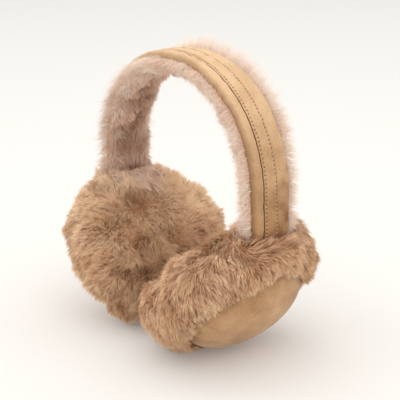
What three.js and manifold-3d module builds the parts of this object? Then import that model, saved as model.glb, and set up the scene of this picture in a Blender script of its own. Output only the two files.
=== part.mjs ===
// Fur earmuffs: a sprung headband, covered outside with three sewn strips of suede and lined inside with fur,
// and a stuffed round ear pad on each end, of fur with a domed suede disc on its outer side.
// They stand on the lower rims of the two pads, which tilt towards each other as they do when nobody wears them.
// Millimetres, +Z up, +X from the left pad to the right one, the origin on the ground under the middle.

import * as THREE from "three";
import { mergeVertices } from "three/addons/utils/BufferGeometryUtils.js";
import Module from "manifold-3d";

const wasm = await Module();
wasm.setup();

// Headband
const BAND_HALF_SPAN = 76.8; // middle to the suede's outer face, where the arch is widest
const BAND_LEG_HEIGHT = 31.5; // end of the band, inside the pad, up to the widest level
const BAND_RISE = 69; // widest level up to the crown
const BAND_FULLNESS = 2.1; // exponent of the arch: 2 is an ellipse, more is squarer
const BAND_SET_BACK = 2; // the band's middle line sits this far behind the pads' middles
const BAND_STEPS = 26; // facets along the band
const LEG_EASE = 19; // length over which the band swings into the pad's direction

// Suede strips of the headband. The centre strip is sewn in between the front one and the back one.
const FRONT_STRIP_WIDTH = 5.8; // seam to the outside of the rolled edge
const CENTRE_STRIP_WIDTH = 8.4;
const BACK_STRIP_WIDTH = 9.4;
const SEAM_GAP = 0.4; // between two neighbouring strips
const SUEDE_THICKNESS = 1.6;
const SUEDE_CROWN = 0.7; // how much the outer face is rounded across the band
const EDGE_FOLD_RADIUS = 1; // padding that the outer edges turn down round
const EDGE_TUCK = 0.8; // straight stretch of suede below the turn
const EDGE_ARC_STEPS = 3;

// Fur lining of the headband
const LINING_OVERHANG = 2.7; // how far the backing of the fur stands out beyond the suede on each side
const LINING_THICKNESS = 6.5; // suede's edge to the backing of the fur

// Ear pads
const DISC_RADIUS = 36.8; // suede disc
const DISC_DOME = 19.4; // height of the dome over the disc's edge
const DISC_WALL = 1.8;
const DISC_RINGS = 5;
const FUR_RING_WIDTH = 16; // disc's edge to the pad's rim, over the fur
const PAD_OUTER_DEPTH = 15.8; // pad's middle plane to the lip of fur beside the disc
const PAD_LIP_STEP = 3.5; // how far the lip stands over the disc's edge
const PAD_INNER_DEPTH = 20.7; // pad's middle plane to the inner face, over the fur
const PAD_TILT = 44; // degrees that the outer face looks down
const RIGHT_PAD_TURN = 6.5; // degrees that the right pad is turned about the vertical on the headband's end
const PAD_FLOOR_SQUASH = 2.6; // how far the fur is pressed flat by the ground
const PAD_MEETING_SQUASH = 2.1; // how far the two pads press each other flat
const PAD_MEETING_GAP = 0.6; // what stays open between the two pads
const PAD_FACETS = 24;

// Where the headband's end sits in the pad
const TAIL_REACH = 14; // below the pad's rim
const TAIL_OFFSET = 0.6; // the suede's outer face there, inwards from the pad's middle plane

// Fur
const LOCK_RISE = 3; // how far a lock's tip stands over the backing
const LOCK_LENGTH = 18; // along the surface
const LOCK_WIDTH = 16;
const LOCK_THICKNESS = 6;
const LOCK_ROOT = 2.5; // how deep it is rooted in the backing
const LOCK_SPACING = 18;
const LOCK_SIDES = 3;
const LOCK_STEPS = 2;
const PAD_HANG = 0.6; // radians that the locks at the sides of a pad turn downwards
const LINING_SPREAD = 0.45; // radians that the locks of the lining turn to its sides

const PIECE_GAP = 0.3; // between pieces that touch

const suedeTan = new THREE.MeshStandardMaterial({ color: 0xd3a878, roughness: 0.9, metalness: 0 });
const padFurBrown = new THREE.MeshStandardMaterial({ color: 0xb08a6c, roughness: 1, metalness: 0 });
const liningFurPink = new THREE.MeshStandardMaterial({ color: 0xd6bcae, roughness: 1, metalness: 0 });

/** A repeatable number from 0 to 1 that looks random. */
function scatter(seed) {
  const wave = Math.sin(seed * 12.9898 + 4.1414) * 43758.5453;
  return wave - Math.floor(wave);
}

// Solids

/** The solid of a closed geometry, without the flat triangles that a lathe leaves on its axis. */
function solidOf(geometry) {
  const bare = new THREE.BufferGeometry();
  bare.setAttribute("position", geometry.getAttribute("position"));
  bare.setIndex(geometry.index);
  const merged = mergeVertices(bare, 1e-4);
  const corners = merged.index.array;
  const triangles = [];
  for (let i = 0; i < corners.length; i += 3) {
    const [a, b, c] = corners.slice(i, i + 3);
    if (a !== b && b !== c && c !== a) triangles.push(a, b, c);
  }
  const vertProperties = merged.getAttribute("position").array;
  return new wasm.Manifold(new wasm.Mesh({ numProp: 3, vertProperties, triVerts: new Uint32Array(triangles) }));
}

/** The geometry of a solid. */
function geometryOf(solid) {
  const made = solid.getMesh();
  const geometry = new THREE.BufferGeometry();
  geometry.setAttribute("position", new THREE.BufferAttribute(new Float32Array(made.vertProperties), 3));
  geometry.setIndex(new THREE.BufferAttribute(new Uint32Array(made.triVerts), 1));
  geometry.computeVertexNormals();
  return geometry;
}

/** The largest body of a solid, so that a cut-off tip of fur doesn't float beside it. */
function largestBody(solid) {
  return solid.decompose().reduce((best, body) => (body.volume() > best.volume() ? body : best));
}

// Outlines and profiles. An outline is closed and runs clockwise, seen with its second axis up.

/** The same points on the other side of the middle. */
function mirrored(line) {
  return line.map(([across, depth]) => [-across, depth]);
}

/** A symmetric outline from one side's points, in order of depth, and the depths where it crosses the middle. */
function symmetricOutline(side, near, far) {
  return [...mirrored(side), [0, far], ...side.slice().reverse(), [0, near]];
}

/** An outline moved outwards by gap. */
function grown(outline, gap) {
  return outline.map((here, i) => {
    const before = outline[(i + outline.length - 1) % outline.length];
    const after = outline[(i + 1) % outline.length];
    const first = new THREE.Vector2(before[1] - here[1], here[0] - before[0]).normalize();
    const second = new THREE.Vector2(here[1] - after[1], after[0] - here[0]).normalize();
    const normal = first.clone().add(second).normalize();
    const reach = gap / Math.max(0.5, normal.dot(first));
    return [here[0] + normal.x * reach, here[1] + normal.y * reach];
  });
}

function lengthOf(line) {
  return line.slice(1).reduce((sum, [x, y], i) => sum + Math.hypot(x - line[i][0], y - line[i][1]), 0);
}

/** The place on a line at a distance along it, and the direction of travel. It runs on straight at both ends. */
function alongLine(line, distance) {
  let left = distance;
  let i = 0;
  let step = new THREE.Vector2(line[1][0] - line[0][0], line[1][1] - line[0][1]);
  while (left > step.length() && i + 2 < line.length) {
    left -= step.length();
    i += 1;
    step = new THREE.Vector2(line[i + 1][0] - line[i][0], line[i + 1][1] - line[i][1]);
  }
  const direction = step.clone().normalize();
  return { place: [line[i][0] + direction.x * left, line[i][1] + direction.y * left], direction };
}

// Ear pad. In its own frame +Y is its axis, towards the suede disc, and +Z is where the headband joins it.

const lipRadius = DISC_RADIUS + PIECE_GAP;
const discEdgeHeight = PAD_OUTER_DEPTH - PAD_LIP_STEP;
const padRadius = DISC_RADIUS + FUR_RING_WIDTH;

// Section of the pad from the middle of the inner face to the rim. radius is a share of the rim's radius,
// and height of the inner depth.
const INNER_SECTION = [
  { radius: 0, height: 0.84 },
  { radius: 0.34, height: 0.92 },
  { radius: 0.63, height: 1 },
  { radius: 0.84, height: 0.88 },
  { radius: 0.96, height: 0.62 },
  { radius: 1, height: 0.25 },
];

// Section from the rim to the lip. ring is a share of the fur ring's width from the disc, and height of
// the outer depth.
const OUTER_SECTION = [
  { ring: 0.92, height: 0.43 },
  { ring: 0.61, height: 0.77 },
  { ring: 0.28, height: 0.93 },
  { ring: 0, height: 1 },
];

/** Points [radius, height] of the pad's section, at a height of fur over its backing. */
function padLine(fur) {
  const rim = padRadius - LOCK_RISE + fur;
  const inner = PAD_INNER_DEPTH - LOCK_RISE + fur;
  return [
    ...INNER_SECTION.map((row) => [row.radius * rim, -row.height * inner]),
    ...OUTER_SECTION.map((row) => [lipRadius + row.ring * (rim - lipRadius), row.height * PAD_OUTER_DEPTH]),
  ];
}

/** Points [radius, height] of the disc's dome, from its edge to its middle, moved outwards by gap. */
function domeLine(gap) {
  return Array.from({ length: DISC_RINGS + 1 }, (_, i) => {
    const angle = (Math.PI / 2) * (i / DISC_RINGS);
    const radius = i < DISC_RINGS ? (DISC_RADIUS + gap) * Math.cos(angle) : 0;
    return [radius, discEdgeHeight + (DISC_DOME + gap) * Math.sin(angle)];
  });
}

/** A solid of revolution about the pad's axis, from points [radius, height] that run up its outside. */
function lathe(line) {
  return solidOf(new THREE.LatheGeometry(line.map(([r, h]) => new THREE.Vector2(r, h)), PAD_FACETS));
}

/** How far the fur reaches from the pad's centre, in a direction with these shares along radius and axis. */
function furReach(alongRadius, alongAxis) {
  return Math.max(...padLine(0).map(([r, h]) => r * alongRadius + h * alongAxis)) + LOCK_RISE;
}

// The pads stand on the ground and lean on each other, so their own sizes say where their centres are.
const tilt = THREE.MathUtils.degToRad(PAD_TILT);
const padCentre = new THREE.Vector3(
  furReach(Math.sin(tilt), -Math.cos(tilt)) - PAD_MEETING_SQUASH + PAD_MEETING_GAP / 2,
  0,
  furReach(Math.cos(tilt), Math.sin(tilt)) - PAD_FLOOR_SQUASH,
);
const padOutward = new THREE.Vector3(Math.cos(tilt), 0, -Math.sin(tilt));
const padUpward = new THREE.Vector3(Math.sin(tilt), 0, Math.cos(tilt));

/** The place of a pad, turned about the vertical, with the whole turned about the middle for the left side. */
function padPlace(padTurn, wholeTurn) {
  const tilted = new THREE.Matrix4().makeBasis(new THREE.Vector3(0, -1, 0), padOutward, padUpward);
  return new THREE.Matrix4()
    .makeRotationZ(wholeTurn)
    .multiply(new THREE.Matrix4().makeTranslation(padCentre))
    .multiply(new THREE.Matrix4().makeRotationZ(padTurn))
    .multiply(tilted);
}

const rightPlace = padPlace(THREE.MathUtils.degToRad(RIGHT_PAD_TURN), 0);
const leftPlace = padPlace(0, Math.PI);

// Headband: the line that the suede's outer face follows, from the left pad over the crown to the right one

/** Points of the line from the crown down to its end in the right pad. */
function rightHalf() {
  const tail = padCentre
    .clone()
    .addScaledVector(padUpward, padRadius - TAIL_REACH)
    .addScaledVector(padOutward, -TAIL_OFFSET);
  const widestHeight = tail.z + BAND_LEG_HEIGHT;
  const steps = 12;
  const arch = Array.from({ length: steps + 1 }, (_, i) => {
    const angle = (Math.PI / 2) * (i / steps);
    const across = Math.sin(angle) ** (2 / BAND_FULLNESS);
    const rise = Math.max(0, Math.cos(angle)) ** (2 / BAND_FULLNESS);
    return new THREE.Vector3(BAND_HALF_SPAN * across, 0, widestHeight + BAND_RISE * rise);
  });
  const widest = arch[steps];
  const leg = new THREE.CubicBezierCurve3(
    widest,
    widest.clone().setZ(widest.z - LEG_EASE),
    tail.clone().addScaledVector(padUpward, LEG_EASE),
    tail,
  );
  return arch.concat(leg.getPoints(steps / 2).slice(1));
}

const half = rightHalf();
const otherHalf = half.slice(1).map((point) => point.clone().setX(-point.x));
const faceCurve = new THREE.CatmullRomCurve3([...otherHalf.reverse(), ...half], false, "centripetal");
faceCurve.arcLengthDivisions = 600;
const faceLength = faceCurve.getLength();

/** The line's point, direction and inward direction at a share of its length. It runs on straight at both ends. */
function station(share) {
  const inside = THREE.MathUtils.clamp(share, 0, 1);
  const along = faceCurve.getTangentAt(inside);
  const point = faceCurve.getPointAt(inside).addScaledVector(along, (share - inside) * faceLength);
  return { point, along, inward: new THREE.Vector3(along.z, 0, -along.x) };
}

/** A point of the band at a share of its length, from its place [across, depth] in the section. */
function bandPoint(share, [across, depth]) {
  const { point, inward } = station(share);
  return point.addScaledVector(inward, depth).setY(BAND_SET_BACK + across);
}

/** A solid that keeps one outline of [across, depth] along the whole band, and past its ends by overrun. */
function sweep(outline, overrun = 0) {
  const extra = overrun / faceLength;
  const shares = Array.from({ length: BAND_STEPS + 1 }, (_, i) => i / BAND_STEPS);
  if (overrun > 0) shares.splice(0, shares.length, -extra, ...shares, 1 + extra);
  const positions = shares.flatMap((share) => outline.flatMap((place) => bandPoint(share, place).toArray()));
  const count = outline.length;
  const last = (shares.length - 1) * count;
  const index = [];
  for (let ring = 0; ring < last; ring += count)
    for (let j = 0; j < count; j++) {
      const a = ring + j;
      const b = ring + ((j + 1) % count);
      index.push(a, b, a + count, b, b + count, a + count);
    }
  const flat = outline.map(([across, depth]) => new THREE.Vector2(across, depth)).reverse();
  for (const corners of THREE.ShapeUtils.triangulateShape(flat, [])) {
    const [a, b, c] = corners.map((corner) => count - 1 - corner);
    index.push(a, b, c, last + a, last + c, last + b);
  }
  const geometry = new THREE.BufferGeometry();
  geometry.setAttribute("position", new THREE.Float32BufferAttribute(positions, 3));
  geometry.setIndex(index);
  return solidOf(geometry);
}

// Headband: sections

const suedeHalf = (FRONT_STRIP_WIDTH + CENTRE_STRIP_WIDTH + BACK_STRIP_WIDTH) / 2 + SEAM_GAP;
const foldRadius = EDGE_FOLD_RADIUS + PIECE_GAP + SUEDE_THICKNESS;
const foldAcross = suedeHalf - foldRadius;
const suedeEdgeDepth = SUEDE_CROWN + foldRadius + EDGE_TUCK;

/** A point of the suede's face between the two folds, below its outer side by inset. */
function facePoint(across, inset) {
  return [across, SUEDE_CROWN * (across / foldAcross) ** 2 + inset];
}

/** The suede's edge: round the fold and down the tuck, in from its outer side by inset. */
function edgeLine(inset) {
  const radius = foldRadius - inset;
  const fold = Array.from({ length: EDGE_ARC_STEPS + 1 }, (_, i) => {
    const angle = (Math.PI / 2) * (i / EDGE_ARC_STEPS);
    return [foldAcross + radius * Math.sin(angle), SUEDE_CROWN + foldRadius - radius * Math.cos(angle)];
  });
  return [...fold, [foldAcross + radius, suedeEdgeDepth]];
}

/** The outline of a strip at the back, from a seam to the suede's edge. */
function edgeStripOutline(seam) {
  const inside = [facePoint(seam, SUEDE_THICKNESS), ...edgeLine(SUEDE_THICKNESS)];
  const outside = [facePoint(seam, 0), ...edgeLine(0)];
  return [...inside, ...outside.reverse()];
}

const centreFront = FRONT_STRIP_WIDTH + SEAM_GAP - suedeHalf;
const centreBack = centreFront + CENTRE_STRIP_WIDTH;
const centreMiddle = (centreFront + centreBack) / 2;
const centreAcross = [centreFront, centreMiddle, centreBack];
const centreOutline = [
  ...centreAcross.map((across) => facePoint(across, SUEDE_THICKNESS)),
  ...centreAcross.map((across) => facePoint(across, 0)).reverse(),
];
const backOutline = edgeStripOutline(centreBack + SEAM_GAP);
const frontOutline = mirrored(edgeStripOutline(suedeHalf - FRONT_STRIP_WIDTH)).reverse();

// The lining's backing fills the suede and swells out below its edges. width and depth are shares of the
// backing's half width and of its thickness below the suede.
const SWELL_SECTION = [
  { width: 1, depth: 0.1 },
  { width: 1, depth: 0.45 },
  { width: 0.82, depth: 0.85 },
];
const liningTop = suedeEdgeDepth + PIECE_GAP;
const liningBottom = liningTop + LINING_THICKNESS;
const swellSide = SWELL_SECTION.map((row) => [
  row.width * (suedeHalf + LINING_OVERHANG),
  liningTop + row.depth * LINING_THICKNESS,
]);
const fillInset = SUEDE_THICKNESS + PIECE_GAP;
const fillSide = edgeLine(fillInset);
fillSide[fillSide.length - 1][1] = liningTop;
const liningOutline = symmetricOutline([...fillSide, ...swellSide], fillInset, liningBottom);
const coverOutline = symmetricOutline(edgeLine(0), 0, suedeEdgeDepth);
const bandOutline = symmetricOutline([...edgeLine(0), ...swellSide], 0, liningBottom);

// Fur

const cone = new THREE.ConeGeometry(0.5, 1, LOCK_SIDES, LOCK_STEPS, false, Math.PI);

/** A lock of fur on a flat backing, a cone that bends over: x sideways, y up and z along the fur. */
function flatLock(seed) {
  const size = 0.85 + 0.3 * scatter(seed);
  const geometry = cone.clone();
  const place = geometry.getAttribute("position");
  for (let i = 0; i < place.count; i++) {
    const share = place.getY(i) + 0.5;
    const swell = share < 1 ? size * (1 - share) ** -0.6 : 0;
    const spine = new THREE.Vector2(
      LOCK_LENGTH * size * share,
      LOCK_RISE - (LOCK_RISE + LOCK_ROOT) * (1 - share) ** 2,
    );
    const travel = new THREE.Vector2(LOCK_LENGTH, 2 * (LOCK_RISE + LOCK_ROOT) * (1 - share)).normalize();
    const thick = LOCK_THICKNESS * swell * place.getZ(i);
    place.setXYZ(i, LOCK_WIDTH * swell * place.getX(i), spine.y - travel.x * thick, spine.x + travel.y * thick);
  }
  return geometry;
}

/** The solid of a geometry whose points are moved by place, a function of x, y and z. */
function wrapped(geometry, place) {
  const points = geometry.getAttribute("position");
  for (let i = 0; i < points.count; i++) {
    const point = place(points.getX(i), points.getY(i), points.getZ(i));
    points.setXYZ(i, ...point.toArray());
  }
  return solidOf(geometry);
}

/** The locks of a pad, in rings from the middle of the inner face to the lip. They fan out and hang a little. */
function padLocks() {
  const line = padLine(0);
  const length = lengthOf(line);
  const rings = Math.round(length / LOCK_SPACING);
  const locks = [];
  for (let ring = 0; ring < rings; ring++) {
    const start = (length * (ring + 0.5)) / rings - LOCK_LENGTH * 0.4;
    const { place } = alongLine(line, start + LOCK_LENGTH * 0.5);
    const count = Math.max(1, Math.round((2 * Math.PI * place[0]) / LOCK_SPACING));
    for (let i = 0; i < count; i++) {
      const seed = ring * 100 + i;
      const angle = (2 * Math.PI * (i + 0.5 * (ring % 2) + 0.3 * scatter(seed + 0.5))) / count;
      const flat = flatLock(seed).rotateY(-PAD_HANG * Math.sin(angle));
      const onPad = (x, y, z) => {
        const { place: foot, direction } = alongLine(line, start + z);
        const turned = angle - x / Math.max(foot[0], LOCK_WIDTH / 2);
        const radius = foot[0] + direction.y * y;
        return new THREE.Vector3(radius * Math.sin(turned), foot[1] - direction.x * y, radius * Math.cos(turned));
      };
      locks.push(wrapped(flat, onPad));
    }
  }
  return wasm.Manifold.union(locks);
}

/** The locks of the lining, in rows across it. They lie along the band and turn to its sides. */
function liningLocks() {
  const line = symmetricOutline(swellSide, 0, liningBottom).slice(0, -1);
  const length = lengthOf(line);
  const rows = Math.round(faceLength / LOCK_SPACING);
  const columns = Math.max(2, Math.round(length / LOCK_SPACING));
  const locks = [];
  for (let row = 0; row < rows; row++)
    for (let column = 0; column < columns; column++) {
      const seed = 3000 + row * 10 + column;
      const start = (faceLength * (row + 0.3 + 0.4 * (column % 2) + 0.3 * scatter(seed))) / rows;
      const spread = LINING_SPREAD * Math.sign(column + 0.5 - columns / 2);
      const flat = flatLock(seed).rotateY(start < faceLength / 2 ? Math.PI + spread : -spread);
      const onBand = (x, y, z) => {
        const { place, direction } = alongLine(line, (length * (column + 0.5)) / columns - x);
        return bandPoint((start + z) / faceLength, [place[0] - direction.y * y, place[1] + direction.x * y]);
      };
      locks.push(wrapped(flat, onBand));
    }
  return wasm.Manifold.union(locks);
}

// Pieces

/** The suede disc: a domed shell. With a gap it is what the fur has to leave free. */
function discSolid(gap = 0) {
  const outside = domeLine(gap);
  return lathe([...outside, ...domeLine(-DISC_WALL - gap).reverse(), outside[0]]);
}

/** A pad before it is fitted: backing, fur and the stuffing of the disc. */
function wholePad() {
  const stuffing = domeLine(-DISC_WALL - PIECE_GAP);
  const grooveFloor = discEdgeHeight - PIECE_GAP;
  const groove = [[lipRadius, grooveFloor], [stuffing[0][0], grooveFloor]];
  const backing = lathe([...padLine(0), ...groove, ...stuffing]);
  return backing.add(padLocks().subtract(discSolid(PIECE_GAP)));
}

/** A pad with a pocket for the headband's end, and flats where the ground and the other pad press it. */
function fittedPad(pad, place) {
  const toPad = place.clone().invert();
  const pocket = sweep(grown(bandOutline, PIECE_GAP), PIECE_GAP).transform(toPad.elements);
  const away = new THREE.Vector3(Math.sign(place.elements[12]), 0, 0);
  const ground = new THREE.Plane(new THREE.Vector3(0, 0, 1), 0).applyMatrix4(toPad);
  const middle = new THREE.Plane(away, -PAD_MEETING_GAP / 2).applyMatrix4(toPad);
  const fitted = pad
    .subtract(pocket)
    .trimByPlane(ground.normal.toArray(), -ground.constant)
    .trimByPlane(middle.normal.toArray(), -middle.constant);
  return largestBody(fitted);
}

/** The lining: backing and fur. The fur stays clear of the suede and of both pads. */
function liningSolid() {
  const padRoom = lathe([...padLine(LOCK_RISE + PIECE_GAP), [0, PAD_OUTER_DEPTH]]);
  const locks = liningLocks()
    .subtract(sweep(grown(coverOutline, PIECE_GAP)))
    .subtract(padRoom.transform(rightPlace.elements))
    .subtract(padRoom.transform(leftPlace.elements));
  return largestBody(sweep(liningOutline).add(locks));
}

/** A named mesh of a solid. */
function piece(name, solid, material) {
  const mesh = new THREE.Mesh(geometryOf(solid), material);
  mesh.name = name;
  return mesh;
}

// The object

const headband = new THREE.Group();
headband.add(
  piece("headband_centre_strip", sweep(centreOutline), suedeTan),
  piece("headband_front_strip", sweep(frontOutline), suedeTan),
  piece("headband_back_strip", sweep(backOutline), suedeTan),
  piece("headband_fur_lining", liningSolid(), liningFurPink),
);

const pad = wholePad();
const disc = discSolid();

/** One ear pad with its disc, in a group that a matrix places. */
function earPad(side, place) {
  const group = new THREE.Group();
  group.applyMatrix4(place);
  group.add(
    piece(`${side}_ear_pad_fur`, fittedPad(pad, place), padFurBrown),
    piece(`${side}_ear_pad_disc`, disc, suedeTan),
  );
  return group;
}

const earmuffs = new THREE.Group();
earmuffs.add(headband, earPad("right", rightPlace), earPad("left", leftPlace));

export default earmuffs;
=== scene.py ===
"""Fur earmuffs standing on the lower rims of their two ear pads, dressed for a studio photograph."""

import math

import bpy
import numpy as np
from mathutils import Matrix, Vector


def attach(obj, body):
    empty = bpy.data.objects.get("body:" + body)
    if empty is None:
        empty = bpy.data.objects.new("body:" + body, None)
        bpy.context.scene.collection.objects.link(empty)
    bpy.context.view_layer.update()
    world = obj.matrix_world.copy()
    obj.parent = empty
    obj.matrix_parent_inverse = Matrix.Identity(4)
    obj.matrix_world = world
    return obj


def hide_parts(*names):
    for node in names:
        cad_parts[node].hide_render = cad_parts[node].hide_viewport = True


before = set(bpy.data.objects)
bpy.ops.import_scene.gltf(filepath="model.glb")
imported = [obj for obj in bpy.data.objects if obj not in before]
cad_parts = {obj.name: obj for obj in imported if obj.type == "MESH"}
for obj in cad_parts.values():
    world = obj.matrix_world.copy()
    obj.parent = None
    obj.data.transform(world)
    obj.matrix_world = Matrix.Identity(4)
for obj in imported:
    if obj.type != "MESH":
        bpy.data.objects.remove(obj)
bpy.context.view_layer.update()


# The headband's line

# The headband is a sprung arch whose two ends are sewn into the ear pads. Every strip of suede, stitch and
# tuft of its lining follows one line, that of the suede's outer face, so this line comes first.

BAND_HALF_SPAN = 0.0768  # middle to the suede's outer face, where the arch is widest
BAND_RISE = 0.069  # widest level up to the crown
BAND_LEG_HEIGHT = 0.0315  # end of the band, inside the pad, up to the widest level
BAND_FULLNESS = 2.1  # exponent of the arch: 2 is an ellipse
BAND_SET_BACK = 0.002  # the band's middle line sits this far behind the pads' middles
LEG_EASE = 0.019  # length over which the band swings into the pad's direction
BAND_END = np.array((0.06883, 0.0, 0.06944))  # where the line ends, inside the right pad
PAD_TILT = math.radians(44)  # how far the outer face of a pad looks down
PAD_OUTWARD = np.array((math.cos(PAD_TILT), 0.0, -math.sin(PAD_TILT)))
PAD_UPWARD = np.array((math.sin(PAD_TILT), 0.0, math.cos(PAD_TILT)))


def held(values):
    """The values held between 0 and 1."""
    return np.clip(values, 0.0, 1.0)


def bell(distance):
    """exp(-d^2): 1 at distance 0, falling to nothing past a few units."""
    return np.exp(-(distance**2))


def unit(vectors):
    """The vectors at length 1."""
    return vectors / np.maximum(np.linalg.norm(vectors, axis=-1, keepdims=True), 1e-12)


def even_line(points, count):
    """The same line with its points at even distances, read off against the length so far."""
    so_far = np.concatenate(([0.0], np.cumsum(np.linalg.norm(np.diff(points, axis=0), axis=1))))
    places = np.linspace(0.0, so_far[-1], count)
    return np.stack([np.interp(places, so_far, column) for column in points.T], axis=1), so_far[-1]


def right_half():
    """The line from the crown into the right pad. The arch is x = span sin(a)^(2/k), z = rise cos(a)^(2/k)
    over the widest level, and the leg below it is a cubic Bezier curve that ends along the pad's own
    slant."""
    widest = BAND_END[2] + BAND_LEG_HEIGHT
    angle = np.linspace(0.0, np.pi / 2, 300)[:, None]
    across = BAND_HALF_SPAN * np.sin(angle) ** (2 / BAND_FULLNESS)
    rise = widest + BAND_RISE * np.cos(angle) ** (2 / BAND_FULLNESS)
    arch = np.hstack((across, np.zeros_like(across), rise))
    t = np.linspace(0.0, 1.0, 100)[1:, None]
    straight_down = arch[-1] - np.array((0.0, 0.0, LEG_EASE))
    into_pad = BAND_END + LEG_EASE * PAD_UPWARD
    leg = (
        (1 - t) ** 3 * arch[-1]
        + 3 * t * (1 - t) ** 2 * straight_down
        + 3 * t**2 * (1 - t) * into_pad
        + t**3 * BAND_END
    )
    return np.vstack((arch, leg))


right_side = right_half()
left_side = right_side[:0:-1] * np.array((-1.0, 1.0, 1.0))
LINE_POINTS = 2400
band_line, BAND_LENGTH = even_line(np.vstack((left_side, right_side)), LINE_POINTS)
band_along = unit(np.gradient(band_line, axis=0))
band_inward = band_along[:, (2, 1, 0)] * np.array((1.0, 0.0, -1.0))
line_shares = np.linspace(0.0, 1.0, LINE_POINTS)


def read_line(values, share):
    """The values of the line at these shares of its length."""
    return np.stack([np.interp(share, line_shares, column) for column in values.T], axis=-1)


def on_band(share, across, depth):
    """A point at a share of the band's length: the line's point moved inwards by depth, and across the
    band."""
    share, across, depth = np.broadcast_arrays(share, across, depth)
    point = read_line(band_line, share) + depth[..., None] * read_line(band_inward, share)
    point[..., 1] += BAND_SET_BACK + across
    return point


# Suede of the headband

# Three strips of soft tan suede cover the band. The narrow front strip and the wide back strip fold down
# round the padding at the band's edges, and the centre strip is sewn in between them, with a row of
# topstitching along each of its sides.

FRONT_STRIP_WIDTH = 0.0058
CENTRE_STRIP_WIDTH = 0.0084
BACK_STRIP_WIDTH = 0.0094
SEAM_GAP = 0.0004
SUEDE_THICKNESS = 0.0016
SUEDE_CROWN = 0.0007  # how much the outer face is rounded across the band
SUEDE_HALF = (FRONT_STRIP_WIDTH + CENTRE_STRIP_WIDTH + BACK_STRIP_WIDTH) / 2 + SEAM_GAP
FOLD_RADIUS = 0.0029
FOLD_ACROSS = SUEDE_HALF - FOLD_RADIUS
EDGE_TUCK = 0.0008  # straight stretch of suede below the fold
SUEDE_EDGE_DEPTH = SUEDE_CROWN + FOLD_RADIUS + EDGE_TUCK
SEAM_ROUND = 0.0008  # radius of the suede where it turns down into a seam
CENTRE_FRONT = FRONT_STRIP_WIDTH + SEAM_GAP - SUEDE_HALF
CENTRE_BACK = CENTRE_FRONT + CENTRE_STRIP_WIDTH
STITCH_ROWS = (CENTRE_FRONT + 0.0012, CENTRE_BACK - 0.0003)
STITCH_PITCH = 0.0023
STITCH_COUNT = int(BAND_LENGTH / STITCH_PITCH)
PUCKER_DEPTH = 0.0002  # how far a row of stitches pulls the suede down
PUCKER_WIDTH = 0.0006
HOLE_RADIUS = 0.00042
BACK_SEAM_ROUND = 0.0002  # the back seam is pressed shut, so it shows less than the front one
FRONT_ROLL = 0.0006  # how far the padding swells the front strip
BACK_ROLL = 0.0002
SUEDE_UNEVEN = 0.00014  # how far the suede swells and sinks over the padding
SEAM_SHADE = 0.9  # painted shade: how dark the suede is painted down in the seam
SEAM_DARK_FROM = 0.0002  # depth at which it starts to darken
SEAM_DARK_OVER = 0.0005  # further depth at which it is darkest
EDGE_PAINTED_SHADE = 0.4  # painted shade: how dark the suede's edges are painted, where the folds turn away from the light
EDGE_PAINTED_SHADE_WIDTH = 0.0016
EDGE_SWAY = 0.0003  # how far the suede's edges wander
SMUDGE = 0.36  # how dark the handled patches near the feet of the band are
SMUDGE_REACH = 0.042  # distance from the band's ends over which they fade


class Link:
    """An output of a material's node. Arithmetic on it, with numbers or other links, adds Math nodes."""

    def __init__(self, nodes, socket):
        self.nodes = nodes
        self.socket = socket

    def math(self, operation, first, second):
        return self.nodes.add("ShaderNodeMath", {"operation": operation}, {0: first, 1: second})

    def __add__(self, other):
        return self.math("ADD", self, other)

    def __radd__(self, other):
        return self.math("ADD", other, self)

    def __sub__(self, other):
        return self.math("SUBTRACT", self, other)

    def __rsub__(self, other):
        return self.math("SUBTRACT", other, self)

    def __mul__(self, other):
        return self.math("MULTIPLY", self, other)

    def __rmul__(self, other):
        return self.math("MULTIPLY", other, self)

    def held(self):
        """The value held between 0 and 1."""
        settings = {"operation": "MAXIMUM", "use_clamp": True}
        return self.nodes.add("ShaderNodeMath", settings, {0: self, 1: 0.0})


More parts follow.
